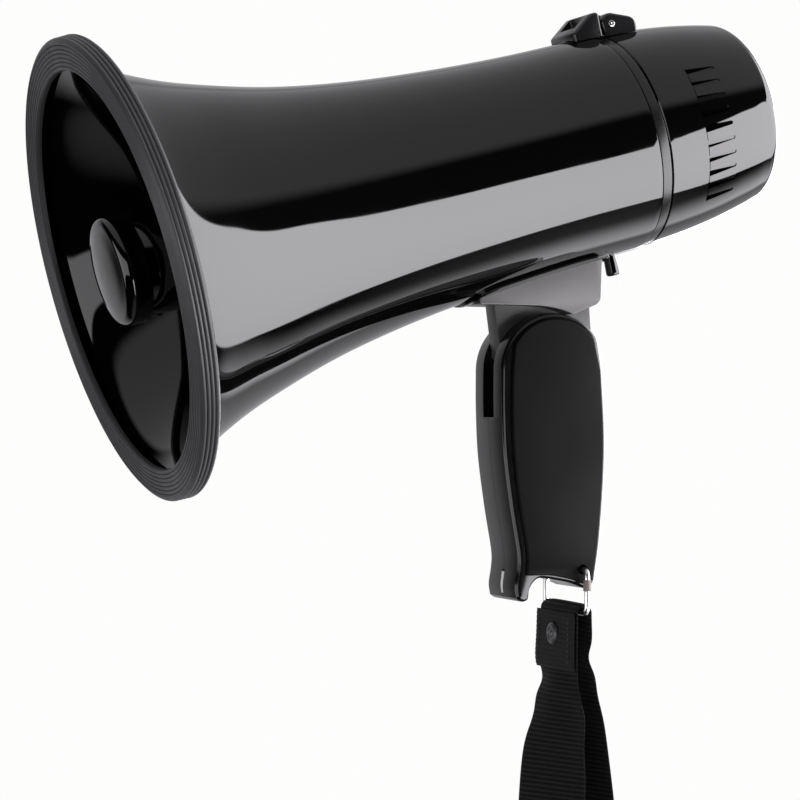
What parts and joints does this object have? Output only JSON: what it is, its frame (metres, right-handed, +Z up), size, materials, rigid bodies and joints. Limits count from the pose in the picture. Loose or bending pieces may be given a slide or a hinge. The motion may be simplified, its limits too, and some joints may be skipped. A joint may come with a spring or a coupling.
{
  "type": "folding hand megaphone",
  "caption": "Powered hand megaphone with a flared horn, latched rear cap, pistol grip that folds forward, and a webbing wrist strap.",
  "frame": {"origin": "the middle of the grip, where the hand holds it", "axes": "+Z up along the plumb grip, +X from the bell towards the user, +Y to the right of a user who looks along the horn"},
  "size_m": [0.2667, 0.16, 0.4431],
  "materials": {
    "gloss_black": "high gloss moulded plastic",
    "satin_black": "satin moulded plastic",
    "matte_black": "fine matte texture",
    "grey_rubber": "satin soft rubber",
    "steel": "nickel plated",
    "brass": "plain",
    "cell_jacket": "printed film, plain",
    "board_green": "solder mask",
    "black_webbing": "ribbed polypropylene webbing",
    "black_rivet": "satin"
  },
  "bodies": {
    "horn": {"horn_shell": "gloss_black", "bell_bumper": "grey_rubber", "centre_plug": "gloss_black", "reflector_cup": "gloss_black", "throat_tube": "gloss_black", "reflector_spider": "gloss_black", "driver_flange": "matte_black", "driver_frame": "steel", "driver_diaphragm": "matte_black", "driver_magnet": "matte_black", "battery_holder": "matte_black", "battery_cell_1": "cell_jacket", "battery_cell_2": "cell_jacket", "battery_cell_3": "cell_jacket", "battery_cell_4": "cell_jacket", "contact_spring_1": "steel", "contact_spring_2": "steel", "contact_spring_3": "steel", "contact_spring_4": "steel", "seam_band": "gloss_black", "latch_catch": "matte_black", "handle_bracket": "satin_black", "fold_pin": "steel"},
    "mode_lever": {"mode_lever": "gloss_black"},
    "cap": {"rear_cap": "gloss_black", "contact_plate": "brass", "amplifier_board": "board_green", "board_capacitor": "matte_black", "microphone_capsule": "steel", "microphone_grille": "matte_black", "control_panel": "matte_black", "latch_base": "matte_black", "latch_pin": "steel"},
    "latch": {"latch_flap": "matte_black"},
    "volume_dial": {"volume_dial": "gloss_black"},
    "talk_button": {"talk_button": "grey_rubber"},
    "siren_slider": {"siren_slider": "grey_rubber"},
    "grip": {"grip_half_right": "gloss_black", "grip_half_left": "gloss_black", "grip_pad_right": "matte_black", "grip_pad_left": "matte_black", "grip_screw_1": "steel", "grip_screw_2": "steel"},
    "ring": {"strap_ring": "steel"},
    "strap": {"wrist_strap": "black_webbing", "strap_rivet": "black_rivet"}
  },
  "joints": [
    {"name": "grip_fold", "type": "hinge", "parent": "horn", "child": "grip", "pos_m": [0, 0, 0.033], "axis": [0, 1, 0], "range_deg": [0, 75]},
    {"name": "ring_swing", "type": "hinge", "parent": "grip", "child": "ring", "pos_m": [0.0102, 0, -0.0375], "axis": [0, 1, 0], "range_deg": [-76, 30]},
    {"name": "strap_swing", "type": "hinge", "parent": "ring", "child": "strap", "pos_m": [0.0102, 0, -0.053], "axis": [0, 1, 0], "range_deg": [-25, 25]},
    {"name": "cap_tilt", "type": "hinge", "parent": "horn", "child": "cap", "pos_m": [0.04072, 0, 0.0782], "axis": [0, 1, 0], "range_deg": [0, 25]},
    {"name": "latch_lift", "type": "hinge", "parent": "cap", "child": "latch", "pos_m": [0.02336, 0, 0.1573], "axis": [0, 1, 0], "range_deg": [0, 100]},
    {"name": "volume_turn", "type": "hinge", "parent": "cap", "child": "volume_dial", "pos_m": [0.07679, -0.0145, 0.12017], "axis": [0.9659, 0, 0.2588], "range_deg": [0, 280]},
    {"name": "talk_press", "type": "slide", "parent": "cap", "child": "talk_button", "axis": [-0.9659, 0, -0.2588], "range_m": [0, 0.0016], "stiffness_N_per_m": 400, "springref_m": -0.001},
    {"name": "siren_slide", "type": "slide", "parent": "cap", "child": "siren_slider", "axis": [0, 1, 0], "range_m": [-0.003, 0.003]},
    {"name": "mode_tilt", "type": "hinge", "parent": "horn", "child": "mode_lever", "pos_m": [0.02731, 0, 0.07533], "axis": [0, 1, 0], "range_deg": [-12, 12]}
  ],
  "couplings": [
    {"joint": "ring_swing", "follows": "grip_fold", "ratio": -1},
    {"joint": "latch_lift", "follows": "cap_tilt", "ratio": 4}
  ]
}
